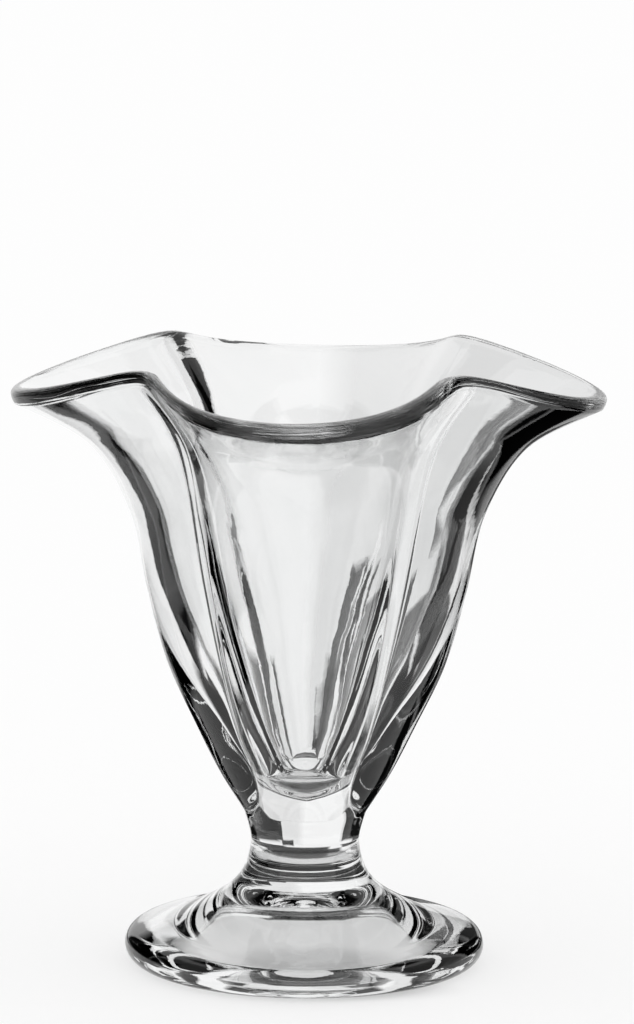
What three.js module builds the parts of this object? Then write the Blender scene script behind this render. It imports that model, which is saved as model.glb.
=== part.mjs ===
// Footed ice cream cup in clear pressed glass, in millimetres, +Z up.
// The origin is the centre of the ring that the foot stands on.
// Three gathers of glass are fused hot, one above the other: foot, stem and bowl.
// The bowl is a tulip of four petals, pinched by four creases on the diagonals.
import * as THREE from 'three';

// Heights of the two seams, one above the other: the foot's top and the bowl's seat.
const FOOT_HEIGHT = 18.6;
const STEM_HEIGHT = 12.8;
const SEAT_HEIGHT = FOOT_HEIGHT + STEM_HEIGHT;

// Bowl stations: radius of the outer wall and its height above the seat, at a petal's middle
// and at a crease, and the wall's thickness there, from the seat up to the rim.
const SEAT_RADIUS = 12.6;
const HEEL = { petal: 17.6, petalUp: 8, crease: 14, creaseUp: 8.5, wall: 9.2 };
const FLANK = { petal: 22.6, petalUp: 18, crease: 18.9, creaseUp: 18.5, wall: 8.5 };
const BELLY = { petal: 28.6, petalUp: 31, crease: 23.3, creaseUp: 32, wall: 7.4 };
const CHEST = { petal: 32.7, petalUp: 46, crease: 27.2, creaseUp: 47, wall: 5.8 };
const NECK = { petal: 36.4, petalUp: 62.5, crease: 30.9, creaseUp: 63, wall: 4.9 };
const FLARE = { petal: 45, petalUp: 76.5, crease: 34.8, creaseUp: 79.2, wall: 4.1 };
const RIM = { petal: 60, petalUp: 84.4, crease: 45.2, creaseUp: 92.4, wall: 3.7 };
const LIP_CROWN = 1.6;

// Floor of the cavity: a round bottom over the solid glass above the seat, with a point of its
// curve at a share of its radius and rise.
const FLOOR_THICKNESS = 6.4;
const FLOOR_RADIUS = 5.4;
const FLOOR_RISE = 4.6;
const FLOOR_MIDWAY = { out: 0.5, up: 0.28 };

// Petals: how many, how round the creases between them are, from the seat up to the rim, and how much
// higher the front and back petals end than the side ones.
const PETALS = 4;
const CREASE_ROUND = 0.04;
const RIM_ROUND = 0.3;
const PETAL_LIFT = 1.3;

// Stem: a short neck with a waist between its two flat seams.
const STEM_WAIST_RADIUS = 11.2;
const STEM_WAIST_UP = 6.6;
const FOOT_SEAM_RADIUS = 12.9;

// Foot: a bell-shaped disc that flares from the seam to a thick round edge.
const FOOT_RADIUS = 37.2;
const EDGE_ROUND = 3.4;
const EDGE_ARC_END = Math.PI * 0.36;
const COLLAR_FLARE = 4.6;
const COLLAR_DROP = 4.7;
const SHOULDER_INSET = 11.1;
const SHOULDER_DROP = 9.2;

// Hollow under the foot, inside the flat ring that the cup stands on: a dome, with two points of
// its curve at shares of its radius and height.
const RING_WIDTH = 8.7;
const HOLLOW_HEIGHT = 14;
const HOLLOW_CROWN = { out: 0.35, up: 0.94 };
const HOLLOW_SHOULDER = { out: 0.7, up: 0.66 };
const HOLLOW_BEVEL = 0.9;

// Facets: steps round the axis, a multiple of 8 so that petals and creases fall on vertices.
const STEPS_ROUND = 48;
const STEPS_PER_SPAN = 2;
const LIP_STEPS = 4;
const ARC_STEPS = 5;

const point = (radius, height) => new THREE.Vector2(radius, height);

function along(controls, stepsPerSpan) {
  return new THREE.SplineCurve(controls).getPoints((controls.length - 1) * stepsPerSpan);
}

function arc(centre, radius, from, to, steps) {
  const curve = new THREE.EllipseCurve(centre.x, centre.y, radius, radius, from, to, to < from);
  return curve.getPoints(steps);
}

// The point at one wall's thickness inside an outer control point, square to the wall.
function inside(controls, index, wall) {
  const before = controls[Math.max(index - 1, 0)];
  const after = controls[Math.min(index + 1, controls.length - 1)];
  const run = after.clone().sub(before).normalize();
  return controls[index].clone().add(point(-run.y, run.x).multiplyScalar(wall));
}

// A lip from the outer wall's edge to the inner wall's edge, crowned away from the wall.
function lip(outer, inner) {
  const across = inner.clone().sub(outer);
  const away = point(across.y, -across.x).normalize();
  const points = [];
  for (let i = 1; i < LIP_STEPS; i += 1) {
    const share = i / LIP_STEPS;
    const crown = away.clone().multiplyScalar(LIP_CROWN * Math.sin(Math.PI * share));
    points.push(outer.clone().addScaledVector(across, share).add(crown));
  }
  return points;
}

// One section of the bowl, from the middle of its seat, over the lip, to the middle of its floor.
function bowlSection(name) {
  const stations = [HEEL, FLANK, BELLY, CHEST, NECK, FLARE, RIM];
  const outer = [point(SEAT_RADIUS, SEAT_HEIGHT)];
  stations.forEach((station) => outer.push(point(station[name], SEAT_HEIGHT + station[`${name}Up`])));
  const inner = stations.map((station, i) => inside(outer, i + 1, station.wall)).reverse();
  const floorHeight = SEAT_HEIGHT + FLOOR_THICKNESS;
  const floor = [
    point(FLOOR_RADIUS, floorHeight + FLOOR_RISE),
    point(FLOOR_RADIUS * FLOOR_MIDWAY.out, floorHeight + FLOOR_RISE * FLOOR_MIDWAY.up),
    point(0, floorHeight),
  ];
  const outerWall = along(outer, STEPS_PER_SPAN);
  const innerWall = along([...inner, ...floor], STEPS_PER_SPAN);
  return [point(0, SEAT_HEIGHT), ...outerWall, ...lip(outer.at(-1), inner[0]), ...innerWall];
}

// How far a section is drawn out from the crease, 0, to the petal's middle, 1, at one turn: a wave
// whose sharp valley is rounded off.
function petalShare(turn, round) {
  const wave = Math.cos(turn * PETALS / 2);
  return (Math.hypot(wave, round) - round) / (Math.hypot(1, round) - round);
}

// The bowl is turned from its petal section, then drawn in towards the crease section
// between the petals.
function bowlGeometry() {
  const petal = bowlSection('petal');
  const crease = bowlSection('crease');
  const geometry = new THREE.LatheGeometry(petal, STEPS_ROUND);
  const position = geometry.getAttribute('position');
  for (let step = 0; step <= STEPS_ROUND; step += 1) {
    const turn = (step % STEPS_ROUND) / STEPS_ROUND * 2 * Math.PI;
    petal.forEach((onPetal, i) => {
      const rise = THREE.MathUtils.clamp((crease[i].y - SEAT_HEIGHT) / RIM.creaseUp, 0, 1);
      const round = THREE.MathUtils.lerp(CREASE_ROUND, RIM_ROUND, rise * rise);
      const share = petalShare(turn, round);
      const section = crease[i].clone().lerp(onPetal, share);
      section.y += PETAL_LIFT * share * (rise * rise * Math.cos(turn)) ** 2;
      const x = section.x * Math.sin(turn);
      const z = section.x * Math.cos(turn);
      position.setXYZ(step * petal.length + i, x, section.y, z);
    });
  }
  return geometry;
}

function stemGeometry() {
  const side = along([
    point(FOOT_SEAM_RADIUS, FOOT_HEIGHT),
    point(STEM_WAIST_RADIUS, FOOT_HEIGHT + STEM_WAIST_UP),
    point(SEAT_RADIUS, SEAT_HEIGHT),
  ], STEPS_PER_SPAN * 2);
  return new THREE.LatheGeometry([
    point(0, FOOT_HEIGHT),
    ...side,
    point(0, SEAT_HEIGHT),
  ], STEPS_ROUND);
}

// The foot's section runs from the top of its hollow, over the ring and the edge, to the seam.
function footGeometry() {
  const edgeCentre = point(FOOT_RADIUS - EDGE_ROUND, EDGE_ROUND);
  const edge = arc(edgeCentre, EDGE_ROUND, -Math.PI / 2, EDGE_ARC_END, ARC_STEPS);
  const hollowEdge = edgeCentre.x - RING_WIDTH;
  const hollowBase = hollowEdge - HOLLOW_BEVEL;
  const bell = along([
    edge.at(-1),
    point(FOOT_RADIUS - SHOULDER_INSET, FOOT_HEIGHT - SHOULDER_DROP),
    point(FOOT_SEAM_RADIUS + COLLAR_FLARE, FOOT_HEIGHT - COLLAR_DROP),
    point(FOOT_SEAM_RADIUS, FOOT_HEIGHT),
  ], STEPS_PER_SPAN);
  const hollow = along([
    point(0, HOLLOW_HEIGHT),
    point(hollowBase * HOLLOW_CROWN.out, HOLLOW_HEIGHT * HOLLOW_CROWN.up),
    point(hollowBase * HOLLOW_SHOULDER.out, HOLLOW_HEIGHT * HOLLOW_SHOULDER.up),
    point(hollowBase, HOLLOW_BEVEL),
  ], STEPS_PER_SPAN);
  return new THREE.LatheGeometry([
    ...hollow,
    point(hollowEdge, 0),
    ...edge,
    ...bell.slice(1),
    point(0, FOOT_HEIGHT),
  ], STEPS_ROUND);
}

function glass(colour) {
  return new THREE.MeshStandardMaterial({
    color: colour,
    roughness: 0.04,
    metalness: 0,
    transparent: true,
    opacity: 0.35,
  });
}

function piece(name, geometry, colour) {
  geometry.rotateX(Math.PI / 2);
  const mesh = new THREE.Mesh(geometry, glass(colour));
  mesh.name = name;
  return mesh;
}

const cup = new THREE.Group();
cup.name = 'ice_cream_cup';
cup.add(piece('foot', footGeometry(), 0xe6eae9));
cup.add(piece('stem', stemGeometry(), 0xe9edec));
cup.add(piece('bowl', bowlGeometry(), 0xeef1f0));

export default cup;
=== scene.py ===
"""Looks of a footed ice cream cup in clear pressed glass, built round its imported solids.

The foot, stem and bowl are fused hot on the real cup, so light meets no seam inside the glass:
one continuous skin stands for the three solids. It is turned from the same stations as the solids,
in far finer steps, and then drawn in at the creases between the petals.
"""
import math

import bmesh
import bpy
from mathutils import Matrix, Vector


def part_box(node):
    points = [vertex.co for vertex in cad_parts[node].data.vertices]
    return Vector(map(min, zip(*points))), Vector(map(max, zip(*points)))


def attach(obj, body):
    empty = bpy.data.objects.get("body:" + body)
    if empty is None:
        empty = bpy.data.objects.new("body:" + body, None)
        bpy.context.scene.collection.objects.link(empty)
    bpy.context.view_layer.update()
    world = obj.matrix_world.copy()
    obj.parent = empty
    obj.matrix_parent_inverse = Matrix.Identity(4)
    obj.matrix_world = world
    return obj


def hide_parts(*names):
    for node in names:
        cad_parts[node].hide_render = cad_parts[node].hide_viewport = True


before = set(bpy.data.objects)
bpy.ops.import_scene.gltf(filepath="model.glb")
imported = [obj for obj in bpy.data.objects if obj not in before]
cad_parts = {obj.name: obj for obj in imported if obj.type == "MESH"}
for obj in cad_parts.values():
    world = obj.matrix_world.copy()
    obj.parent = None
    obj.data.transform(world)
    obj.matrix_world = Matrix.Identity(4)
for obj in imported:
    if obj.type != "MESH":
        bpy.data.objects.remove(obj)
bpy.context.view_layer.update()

MM = 0.001

# Photograph: its size in pixels, and its camera, worked out from the rim's and the foot's outlines,
# with the camera's place in metres.
PHOTO_WIDTH, PHOTO_HEIGHT = 634, 1024
OPTICAL_AXIS_PX = (306.3, 667.0)
FOCAL_PX = 5197.0
CAMERA_DISTANCE = 1.048
CAMERA_HEIGHT = 0.2664
CAMERA_PITCH = math.radians(11.07)
CAMERA_ROLL = math.radians(0.45)
CAMERA_AZIMUTH = math.radians(1.6)
SENSOR_MM = 36.0

# Seams and foot of the solids in millimetres, from the frame.
FOOT_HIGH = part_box("foot")[1]
BOWL_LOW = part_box("bowl")[0]
SEAT_HEIGHT = BOWL_LOW.z / MM
FOOT_HEIGHT = FOOT_HIGH.z / MM
FOOT_RADIUS = FOOT_HIGH.x / MM

# Bowl stations in millimetres, from the heel up to the rim: outer radius and height above the seat,
# at a petal's middle and at a crease, and the wall's thickness there. Each height is in the column
# after its radius.
SEAT_RADIUS = 12.6
PETAL, CREASE, WALL = 0, 2, 4
STATIONS = [
    # petal, up, crease, up, wall
    (17.6, 8.0, 14.0, 8.5, 9.2),
    (22.6, 18.0, 18.9, 18.5, 8.5),
    (28.6, 31.0, 23.3, 32.0, 7.4),
    (32.7, 46.0, 27.2, 47.0, 5.8),
    (36.4, 62.5, 30.9, 63.0, 4.9),
    (45.0, 76.5, 34.8, 79.2, 4.1),
    (60.0, 84.4, 45.2, 92.4, 3.7),
]
LIP_CROWN = 1.6

# Floor of the cavity in millimetres, with a point of its curve at shares of its radius and rise.
FLOOR_THICKNESS = 6.4
FLOOR_RADIUS = 5.4
FLOOR_RISE = 4.6
FLOOR_MIDWAY_OUT, FLOOR_MIDWAY_UP = 0.5, 0.28

# Petals: how many, how round the creases between them are, from the seat up to the rim, how much
# higher in millimetres the front and back petals end than the side ones, and how far the press's
# plunger, which forms the inside, was turned against the mould.
PETALS = 4
CREASE_ROUND = 0.04
RIM_ROUND = 0.3
PETAL_LIFT = 1.3
PLUNGER_TURN = math.radians(-2.0)

# Stem and foot in millimetres, with two points of the hollow's curve at shares of its radius and height.
STEM_WAIST_RADIUS = 11.2
STEM_WAIST_UP = 6.6
FOOT_SEAM_RADIUS = 12.9
EDGE_ROUND = 3.4
EDGE_ARC_END = math.pi * 0.36
COLLAR_FLARE = 4.6
COLLAR_DROP = 4.7
SHOULDER_INSET = 11.1
SHOULDER_DROP = 9.2
RING_WIDTH = 8.7
HOLLOW_HEIGHT = 14.0
HOLLOW_CROWN_OUT, HOLLOW_CROWN_UP = 0.35, 0.94
HOLLOW_SHOULDER_OUT, HOLLOW_SHOULDER_UP = 0.7, 0.66
HOLLOW_BEVEL = 0.9

# Surface of the glass in millimetres: the size and height of the flame's slow waves and of the mould's
# orange peel. Then the lines along the lip: how many lie across it, their height, the share of the lip
# over which they fade in, and the size and amount of their drift from side to side.
WAVE_SIZE, WAVE_HEIGHT = 11.0, 0.08
PEEL_SIZE, PEEL_HEIGHT = 1.6, 0.006
LIP_LINES, LIP_LINE_HEIGHT = 11.0, 0.25
LIP_FADE = 0.08
DRIFT_SIZE, DRIFT = 14.0, 0.35

# Refractive index of soda-lime glass.
GLASS_IOR = 1.52

# Fineness of the skin, and the distance in metres at which its doubled vertices merge.
STEPS_ROUND = 256
STEPS_PER_SPAN = 10
LIP_STEPS = 12
ARC_STEPS = 16
MERGE_DISTANCE = 1e-6

# Studio in metres: a round sweep that is partly lit from within, and two painted soft shades on it under
# the foot that dim its glow.
SWEEP_RADIUS = 4.0
SWEEP_SEGMENTS = 64
SWEEP_GAP = 0.0004
SWEEP_GLOW = 0.6
PAINTED_SHADES = [
    # middle, half size, share of it that is full shade, level of light left
    ((0.0, 0.0, 0.0), (0.036, 0.036, 1.0), 0.8, 0.87),
    ((0.006, -0.024, 0.0), (0.030, 0.012, 1.0), 0.3, 0.65),
]

# Cards round the cup, in metres and degrees, which only the glass shows as its dark, grey and pale bands:
# painted reflections.
# The cards laid flat on the floor are painted shadow under and behind the cup, seen only through the
# glass.
CARD_STEPS = 16
CARDS = [
    # name, distance at its foot and top, azimuth of its ends from the back, heights, soft border, grey
    ("card_left", 0.1, 0.1, -86, -45, 0.0, 0.066, 0.006, "#101010"),
    ("card_left_stem", 0.05, 0.05, -65, -22, 0.018, 0.046, 0.006, "#101010"),
    ("card_left_side", 0.1, 0.1, -108, -84, 0.0, 0.045, 0.006, "#101010"),
    ("card_left_grey", 0.13, 0.13, -135, -80, 0.0, 0.12, 0.03, "#a0a0a0"),
    ("card_left_high", 0.1, 0.1, -155, -60, 0.11, 0.3, 0.02, "#303030"),
    ("card_left_floor", 0.06, 0.1, -65, -28, 0.001, 0.001, 0.005, "#202020"),
    ("card_right_streak", 0.1, 0.1, 5, 14, 0.0, 0.022, 0.007, "#202020"),
    ("card_right_streak_top", 0.1, 0.1, 12, 20, 0.016, 0.06, 0.006, "#202020"),
    ("card_right_low", 0.1, 0.1, 20, 42, 0.015, 0.042, 0.003, "#505050"),
    ("card_right_stem", 0.05, 0.05, 11, 65, 0.018, 0.046, 0.006, "#101010"),
    ("card_right_back", 0.1, 0.1, 39, 72, 0.0, 0.062, 0.005, "#101010"),
    ("card_right_band", 0.1, 0.1, 28, 42, 0.06, 0.084, 0.004, "#606060"),
    ("card_right_grey", 0.13, 0.13, 60, 120, 0.0, 0.12, 0.03, "#a0a0a0"),
    ("card_right_high", 0.1, 0.1, 60, 100, 0.11, 0.3, 0.02, "#303030"),
    ("card_right_floor", 0.05, 0.1, 10, 75, 0.001, 0.001, 0.005, "#202020"),
    ("card_foot_floor", 0.018, 0.07, -30, 30, -0.0002, -0.0002, 0.005, "#303030"),
    ("card_foot_back", 0.046, 0.046, -16, 22, 0.0, 0.014, 0.002, "#101010"),
    ("card_front_high", 0.1, 0.01, 95, 265, 0.3, 0.31, 0.01, "#303030"),
    ("card_back_right", 0.115, 0.115, -1, 75, 0.0, 0.3, 0.008, "#ebebeb"),
]


def linear(hex_colour):
    """An sRGB hex colour as linear RGBA."""
    channels = [int(hex_colour[i:i + 2], 16) / 255 for i in (1, 3, 5)]
    return [c / 12.92 if c <= 0.04045 else ((c + 0.055) / 1.055) ** 2.4 for c in channels] + [1.0]


def add_node(tree, kind, settings=None, inputs=None, links=None):
    """Adds one node, sets its properties and input values, and links its inputs to other outputs."""
    node = tree.nodes.new(kind)
    for name, value in (settings or {}).items():
        setattr(node, name, value)
    for name, value in (inputs or {}).items():
        node.inputs[name].default_value = value
    for name, source in (links or {}).items():
        tree.links.new(source, node.inputs[name])
    return node


def empty_material(name):
    """A new material with no nodes yet, and its node tree."""
    material = bpy.data.materials.new(name)
    material.use_nodes = True
    material.node_tree.nodes.clear()
    return material, material.node_tree


def add_object(name, mesh):
    """Turns a bmesh into an object in the scene."""
    data = bpy.data.meshes.new(name)
    mesh.to_mesh(data)
    mesh.free()
    made = bpy.data.objects.new(name, data)
    bpy.context.scene.collection.objects.link(made)
    return made


def clamped(value):
    """The value, held between 0 and 1."""
    return min(max(value, 0.0), 1.0)


def spline(controls, steps):
    """Points on a smooth curve through the controls, with so many steps from one to the next."""
    ends = [controls[0]] + list(controls) + [controls[-1]]
    points = []
    for a, b, c, d in zip(ends, ends[1:], ends[2:], ends[3:]):
        for i in range(steps):
            t = i / steps
            points.append(0.5 * (2 * b + (c - a) * t + (2 * a - 5 * b + 4 * c - d) * t ** 2
                                 + (3 * b - a - 3 * c + d) * t ** 3))
    return points + [Vector(controls[-1])]


def arc(centre, radius, start, end, steps):
    """Points on a round arc, both ends included."""
    angles = [start + (end - start) * i / steps for i in range(steps + 1)]
    return [centre + radius * Vector((math.cos(a), math.sin(a))) for a in angles]


def wall_inside(outer, index, wall):
    """The point at one wall's thickness inside an outer control point, square to the wall."""
    run = (outer[min(index + 1, len(outer) - 1)] - outer[max(index - 1, 0)]).normalized()
    return outer[index] + wall * Vector((-run.y, run.x))


def lip(outer, inner):
    """The lip between the two walls' edges, crowned away from the wall."""
    across = inner - outer
    away = Vector((across.y, -across.x)).normalized()
    shares = [i / LIP_STEPS for i in range(1, LIP_STEPS)]
    return [outer + across * s + away * LIP_CROWN * math.sin(math.pi * s) for s in shares]


def bowl_section(column):
    """One section of the bowl's skin, from its seat over the lip to the middle of its floor."""
    outer = [Vector((SEAT_RADIUS, SEAT_HEIGHT))]
    outer += [Vector((s[column], SEAT_HEIGHT + s[column + 1])) for s in STATIONS]
    inner = [wall_inside(outer, i + 1, s[WALL]) for i, s in enumerate(STATIONS)][::-1]
    floor_height = SEAT_HEIGHT + FLOOR_THICKNESS
    floor = [
        Vector((FLOOR_RADIUS, floor_height + FLOOR_RISE)),
        Vector((FLOOR_RADIUS * FLOOR_MIDWAY_OUT, floor_height + FLOOR_RISE * FLOOR_MIDWAY_UP)),
        Vector((0.0, floor_height)),
    ]
    outer_wall = spline(outer, STEPS_PER_SPAN)
    over_lip = lip(outer[-1], inner[0])
    inner_wall = spline(inner + floor, STEPS_PER_SPAN)
    return outer_wall + over_lip + inner_wall


def base_section():
    """The foot's and stem's skin, from the top of the hollow, over the ring and the edge, to the seat."""
    edge_centre = Vector((FOOT_RADIUS - EDGE_ROUND, EDGE_ROUND))
    edge = arc(edge_centre, EDGE_ROUND, -math.pi / 2, EDGE_ARC_END, ARC_STEPS)
    hollow_edge = edge_centre.x - RING_WIDTH
    hollow_base = hollow_edge - HOLLOW_BEVEL
    bell_and_stem = spline([
        edge[-1],
        Vector((FOOT_RADIUS - SHOULDER_INSET, FOOT_HEIGHT - SHOULDER_DROP)),
        Vector((FOOT_SEAM_RADIUS + COLLAR_FLARE, FOOT_HEIGHT - COLLAR_DROP)),
        Vector((FOOT_SEAM_RADIUS, FOOT_HEIGHT)),
        Vector((STEM_WAIST_RADIUS, FOOT_HEIGHT + STEM_WAIST_UP)),
        Vector((SEAT_RADIUS, SEAT_HEIGHT)),
    ], STEPS_PER_SPAN)
    hollow = spline([
        Vector((0.0, HOLLOW_HEIGHT)),
        Vector((hollow_base * HOLLOW_CROWN_OUT, HOLLOW_HEIGHT * HOLLOW_CROWN_UP)),
        Vector((hollow_base * HOLLOW_SHOULDER_OUT, HOLLOW_HEIGHT * HOLLOW_SHOULDER_UP)),
        Vector((hollow_base, HOLLOW_BEVEL)),
    ], STEPS_PER_SPAN)
    return hollow + [Vector((hollow_edge, 0.0))] + edge + bell_and_stem[1:-1]


def petal_share(turn, soft):
    """How far a section is drawn out from the crease, 0, to the petal's middle, 1: a softened wave."""
    wave = math.cos(turn * PETALS / 2)
    return (math.hypot(wave, soft) - soft) / (math.hypot(1.0, soft) - soft)


def glass_skin():
    """The whole cup as one closed skin: spun from its petal section, then drawn in at the creases."""
    base = base_section()
    petal = base + bowl_section(PETAL)
    crease = base + bowl_section(CREASE)
    bowl_height = STATIONS[-1][CREASE + 1]
    lip_start = len(base) + len(STATIONS) * STEPS_PER_SPAN
    mesh = bmesh.new()
    station = mesh.verts.layers.int.new("station")
    lip_share = mesh.verts.layers.float.new("lip_share")
    verts = []
    for i, p in enumerate(petal):
        vert = mesh.verts.new((p.x * MM, 0.0, p.y * MM))
        vert[station] = i
        verts.append(vert)
    edges = [mesh.edges.new(pair) for pair in zip(verts, verts[1:])]
    bmesh.ops.spin(mesh, geom=verts + edges, axis=(0, 0, 1), cent=(0, 0, 0), dvec=(0, 0, 0),
                   angle=2 * math.pi, steps=STEPS_ROUND, use_merge=True, use_duplicate=False)
    for vert in mesh.verts:
        i = vert[station]
        turn = math.atan2(vert.co.y, vert.co.x)
        plunger_share = clamped((i - lip_start) / LIP_STEPS)
        vert[lip_share] = min(plunger_share, 1.0 - plunger_share)
        rise = clamped((crease[i].y - SEAT_HEIGHT) / bowl_height)
        soft = CREASE_ROUND + (RIM_ROUND - CREASE_ROUND) * rise ** 2
        share = petal_share(turn - PLUNGER_TURN * plunger_share, soft)
        section = crease[i].lerp(petal[i], share)
        section.y += PETAL_LIFT * share * (rise ** 2 * math.sin(turn)) ** 2
        vert.co = Vector((section.x * math.cos(turn), section.x * math.sin(turn), section.y)) * MM
    bmesh.ops.remove_doubles(mesh, verts=mesh.verts, dist=MERGE_DISTANCE)
    bmesh.ops.recalc_face_normals(mesh, faces=mesh.faces)
    for face in mesh.faces:
        face.smooth = True
    return add_object("cup_glass", mesh)


def pressed_glass():
    """Soda-lime glass, pressed in a mould and fire polished.

    The eye sees clear, colourless glass. The flame leaves slow waves on it, the mould a fine orange
    peel, and the drawn lip fine lines along its length.
    """
    material, tree = empty_material("pressed_soda_lime_glass")
    place = add_node(tree, "ShaderNodeTexCoord")
    waves = add_node(tree, "ShaderNodeTexNoise", inputs={"Scale": 1 / (WAVE_SIZE * MM), "Detail": 1.0},
                     links={"Vector": place.outputs["Object"]})
    peel = add_node(tree, "ShaderNodeTexNoise", inputs={"Scale": 1 / (PEEL_SIZE * MM), "Detail": 2.0},
                    links={"Vector": place.outputs["Object"]})
    across = add_node(tree, "ShaderNodeAttribute", {"attribute_name": "lip_share"})
    drift = add_node(tree, "ShaderNodeTexNoise", inputs={"Scale": 1 / (DRIFT_SIZE * MM), "Detail": 0.0},
                     links={"Vector": place.outputs["Object"]})
    lane = add_node(tree, "ShaderNodeMath", {"operation": "MULTIPLY_ADD"}, {1: DRIFT},
                    {0: drift.outputs["Fac"], 2: across.outputs["Fac"]})
    lines = add_node(tree, "ShaderNodeTexNoise", {"noise_dimensions": "1D"},
                     {"Scale": LIP_LINES, "Detail": 2.0}, {"W": lane.outputs["Value"]})
    lip_only = add_node(tree, "ShaderNodeMapRange", {"interpolation_type": "SMOOTHSTEP"},
                        {"From Min": 0.0, "From Max": LIP_FADE,
                         "To Min": 0.0, "To Max": LIP_LINE_HEIGHT * MM},
                        {"Value": across.outputs["Fac"]})
    line_height = add_node(tree, "ShaderNodeMath", {"operation": "MULTIPLY"},
                           links={0: lines.outputs["Fac"], 1: lip_only.outputs["Result"]})
    peel_height = add_node(tree, "ShaderNodeMath", {"operation": "MULTIPLY_ADD"}, {1: PEEL_HEIGHT * MM},
                           {0: peel.outputs["Fac"], 2: line_height.outputs["Value"]})
    height = add_node(tree, "ShaderNodeMath", {"operation": "MULTIPLY_ADD"}, {1: WAVE_HEIGHT * MM},
                      {0: waves.outputs["Fac"], 2: peel_height.outputs["Value"]})
    bump = add_node(tree, "ShaderNodeBump", inputs={"Strength": 1.0, "Distance": 1.0},
                    links={"Height": height.outputs["Value"]})
    tint = add_node(tree, "ShaderNodeMix", {"data_type": "RGBA"},
                    {"A": linear("#fbfbfb"), "B": linear("#f3f4f4")}, {"Factor": waves.outputs["Fac"]})
    shader = add_node(tree, "ShaderNodeBsdfPrincipled",
                      inputs={"Roughness": 0.0, "IOR": GLASS_IOR, "Transmission Weight": 1.0},
                      links={"Base Color": tint.outputs["Result"], "Normal": bump.outputs["Normal"]})
    add_node(tree, "ShaderNodeOutputMaterial", links={"Surface": shader.outputs["BSDF"]})
    return material


def make_camera():
    """The photograph's camera: its lens, the shift of its frame, its place and its tilt."""
    data = bpy.data.cameras.new("photo_camera")
    data.sensor_fit = "AUTO"
    data.sensor_width = SENSOR_MM
    data.lens = FOCAL_PX / PHOTO_HEIGHT * SENSOR_MM
    data.shift_x = (PHOTO_WIDTH / 2 - OPTICAL_AXIS_PX[0]) / PHOTO_HEIGHT
    data.shift_y = (OPTICAL_AXIS_PX[1] - PHOTO_HEIGHT / 2) / PHOTO_HEIGHT
    camera = bpy.data.objects.new("photo_camera", data)
    camera.matrix_world = (Matrix.Rotation(CAMERA_AZIMUTH, 4, "Z")
                           @ Matrix.Translation((0.0, -CAMERA_DISTANCE, CAMERA_HEIGHT))
                           @ Matrix.Rotation(math.pi / 2 - CAMERA_PITCH, 4, "X")
                           @ Matrix.Rotation(CAMERA_ROLL, 4, "Z"))
    bpy.context.scene.collection.objects.link(camera)
    bpy.context.scene.camera = camera


def make_world():
    """Plain white light from all round."""
    world = bpy.data.worlds.new("white_studio")
    bpy.context.scene.world = world
    world.use_nodes = True
    tree = world.node_tree
    tree.nodes.clear()
    background = add_node(tree, "ShaderNodeBackground",
                          inputs={"Color": linear("#ffffff"), "Strength": 1.0})
    add_node(tree, "ShaderNodeOutputWorld", links={"Surface": background.outputs["Background"]})


def white_paper():
    """Matt white paper, partly lit from within, so that it stays white and still keeps a soft shadow.

    Painted soft shades, which dim its glow, lie on it under the foot.
    """
    material, tree = empty_material("matt_white_paper")
    paper = add_node(tree, "ShaderNodeBsdfDiffuse", inputs={"Color": linear("#fbfbfb")})
    place = add_node(tree, "ShaderNodeTexCoord")
    painted_shade_levels = []
    # Each painted shade dims the paper's glow within its spot.
    for middle, half_size, core, level in PAINTED_SHADES:
        spot = add_node(tree, "ShaderNodeMapping", {"vector_type": "TEXTURE"},
                        {"Location": middle, "Scale": half_size}, {"Vector": place.outputs["Object"]})
        reach = add_node(tree, "ShaderNodeVectorMath", {"operation": "LENGTH"},
                         links={0: spot.outputs["Vector"]})
        shade = add_node(tree, "ShaderNodeMapRange", {"interpolation_type": "SMOOTHSTEP"},
                         {"From Min": core, "From Max": 1.0, "To Min": level, "To Max": 1.0},
                         {"Value": reach.outputs["Value"]})
        painted_shade_levels.append(shade.outputs["Result"])
    light = add_node(tree, "ShaderNodeMath", {"operation": "MULTIPLY"}, links={0: painted_shade_levels[0], 1: painted_shade_levels[1]})
    glow = add_node(tree, "ShaderNodeEmission", inputs={"Color": linear("#ffffff")},
                    links={"Strength": light.outputs["Value"]})
    mix = add_node(tree, "ShaderNodeMixShader", inputs={"Fac": SWEEP_GLOW},
                   links={1: paper.outputs["BSDF"], 2: glow.outputs["Emission"]})
    add_node(tree, "ShaderNodeOutputMaterial", links={"Surface": mix.outputs["Shader"]})
    return material


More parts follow.
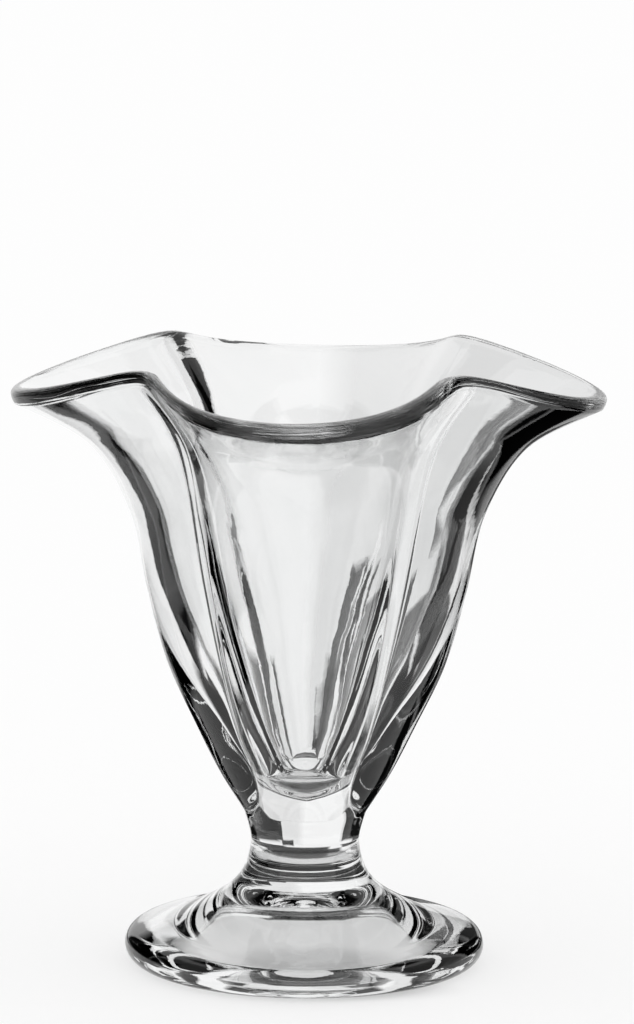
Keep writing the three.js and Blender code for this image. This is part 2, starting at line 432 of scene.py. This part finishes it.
def make_floor():
    """A pale round sweep, a hair below the ring that the cup stands on."""
    mesh = bmesh.new()
    bmesh.ops.create_circle(mesh, cap_ends=True, radius=SWEEP_RADIUS, segments=SWEEP_SEGMENTS)
    bmesh.ops.translate(mesh, verts=mesh.verts, vec=(0.0, 0.0, -SWEEP_GAP))
    floor = add_object("floor", mesh)
    floor.data.materials.append(white_paper())


def painted_reflection_sheet(name, grey):
    """A grey sheet that glows at its own level, for a painted reflection, and gets thinner towards its
    border, so that its edge is soft in the glass.
    """
    material, tree = empty_material("painted_reflection_" + name)
    cover = add_node(tree, "ShaderNodeAttribute", {"attribute_name": "cover"})
    gap = add_node(tree, "ShaderNodeBsdfTransparent")
    card = add_node(tree, "ShaderNodeEmission", inputs={"Color": linear(grey), "Strength": 1.0})
    mix = add_node(tree, "ShaderNodeMixShader", links={
        "Fac": cover.outputs["Fac"], 1: gap.outputs["BSDF"], 2: card.outputs["Emission"]})
    add_node(tree, "ShaderNodeOutputMaterial", links={"Surface": mix.outputs["Shader"]})
    return material


def make_card(name, foot_radius, top_radius, start, end, low, high, soft, grey):
    """A card bent round the cup, or laid flat beside or under it, that only the glass shows, not the
    camera: a painted reflection, or painted shade on the floor.
    """
    mesh = bmesh.new()
    cover = mesh.verts.layers.float.new("cover")
    turn = Matrix.Rotation(-math.radians(start), 4, "Z")
    foot = mesh.verts.new(turn @ Vector((0.0, foot_radius, low)))
    top = mesh.verts.new(turn @ Vector((0.0, top_radius, high)))
    edge = mesh.edges.new((foot, top))
    bmesh.ops.spin(mesh, geom=[foot, top, edge], axis=(0, 0, 1), cent=(0, 0, 0), dvec=(0, 0, 0),
                   angle=-math.radians(end - start), steps=CARD_STEPS, use_duplicate=False)
    bmesh.ops.inset_region(mesh, faces=mesh.faces, thickness=soft, use_boundary=True,
                           use_even_offset=True)
    for vert in mesh.verts:
        vert[cover] = 0.0 if vert.is_boundary else 1.0
    card = add_object(name, mesh)
    card.data.materials.append(painted_reflection_sheet(name, grey))
    card.visible_camera = False
    card.visible_diffuse = False
    card.visible_shadow = False


cup = glass_skin()
cup.data.materials.append(pressed_glass())
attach(cup, "root")
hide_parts("foot", "stem", "bowl")

make_floor()
for card in CARDS:
    make_card(*card)
make_camera()
make_world()
bpy.context.scene.view_settings.view_transform = "Standard"
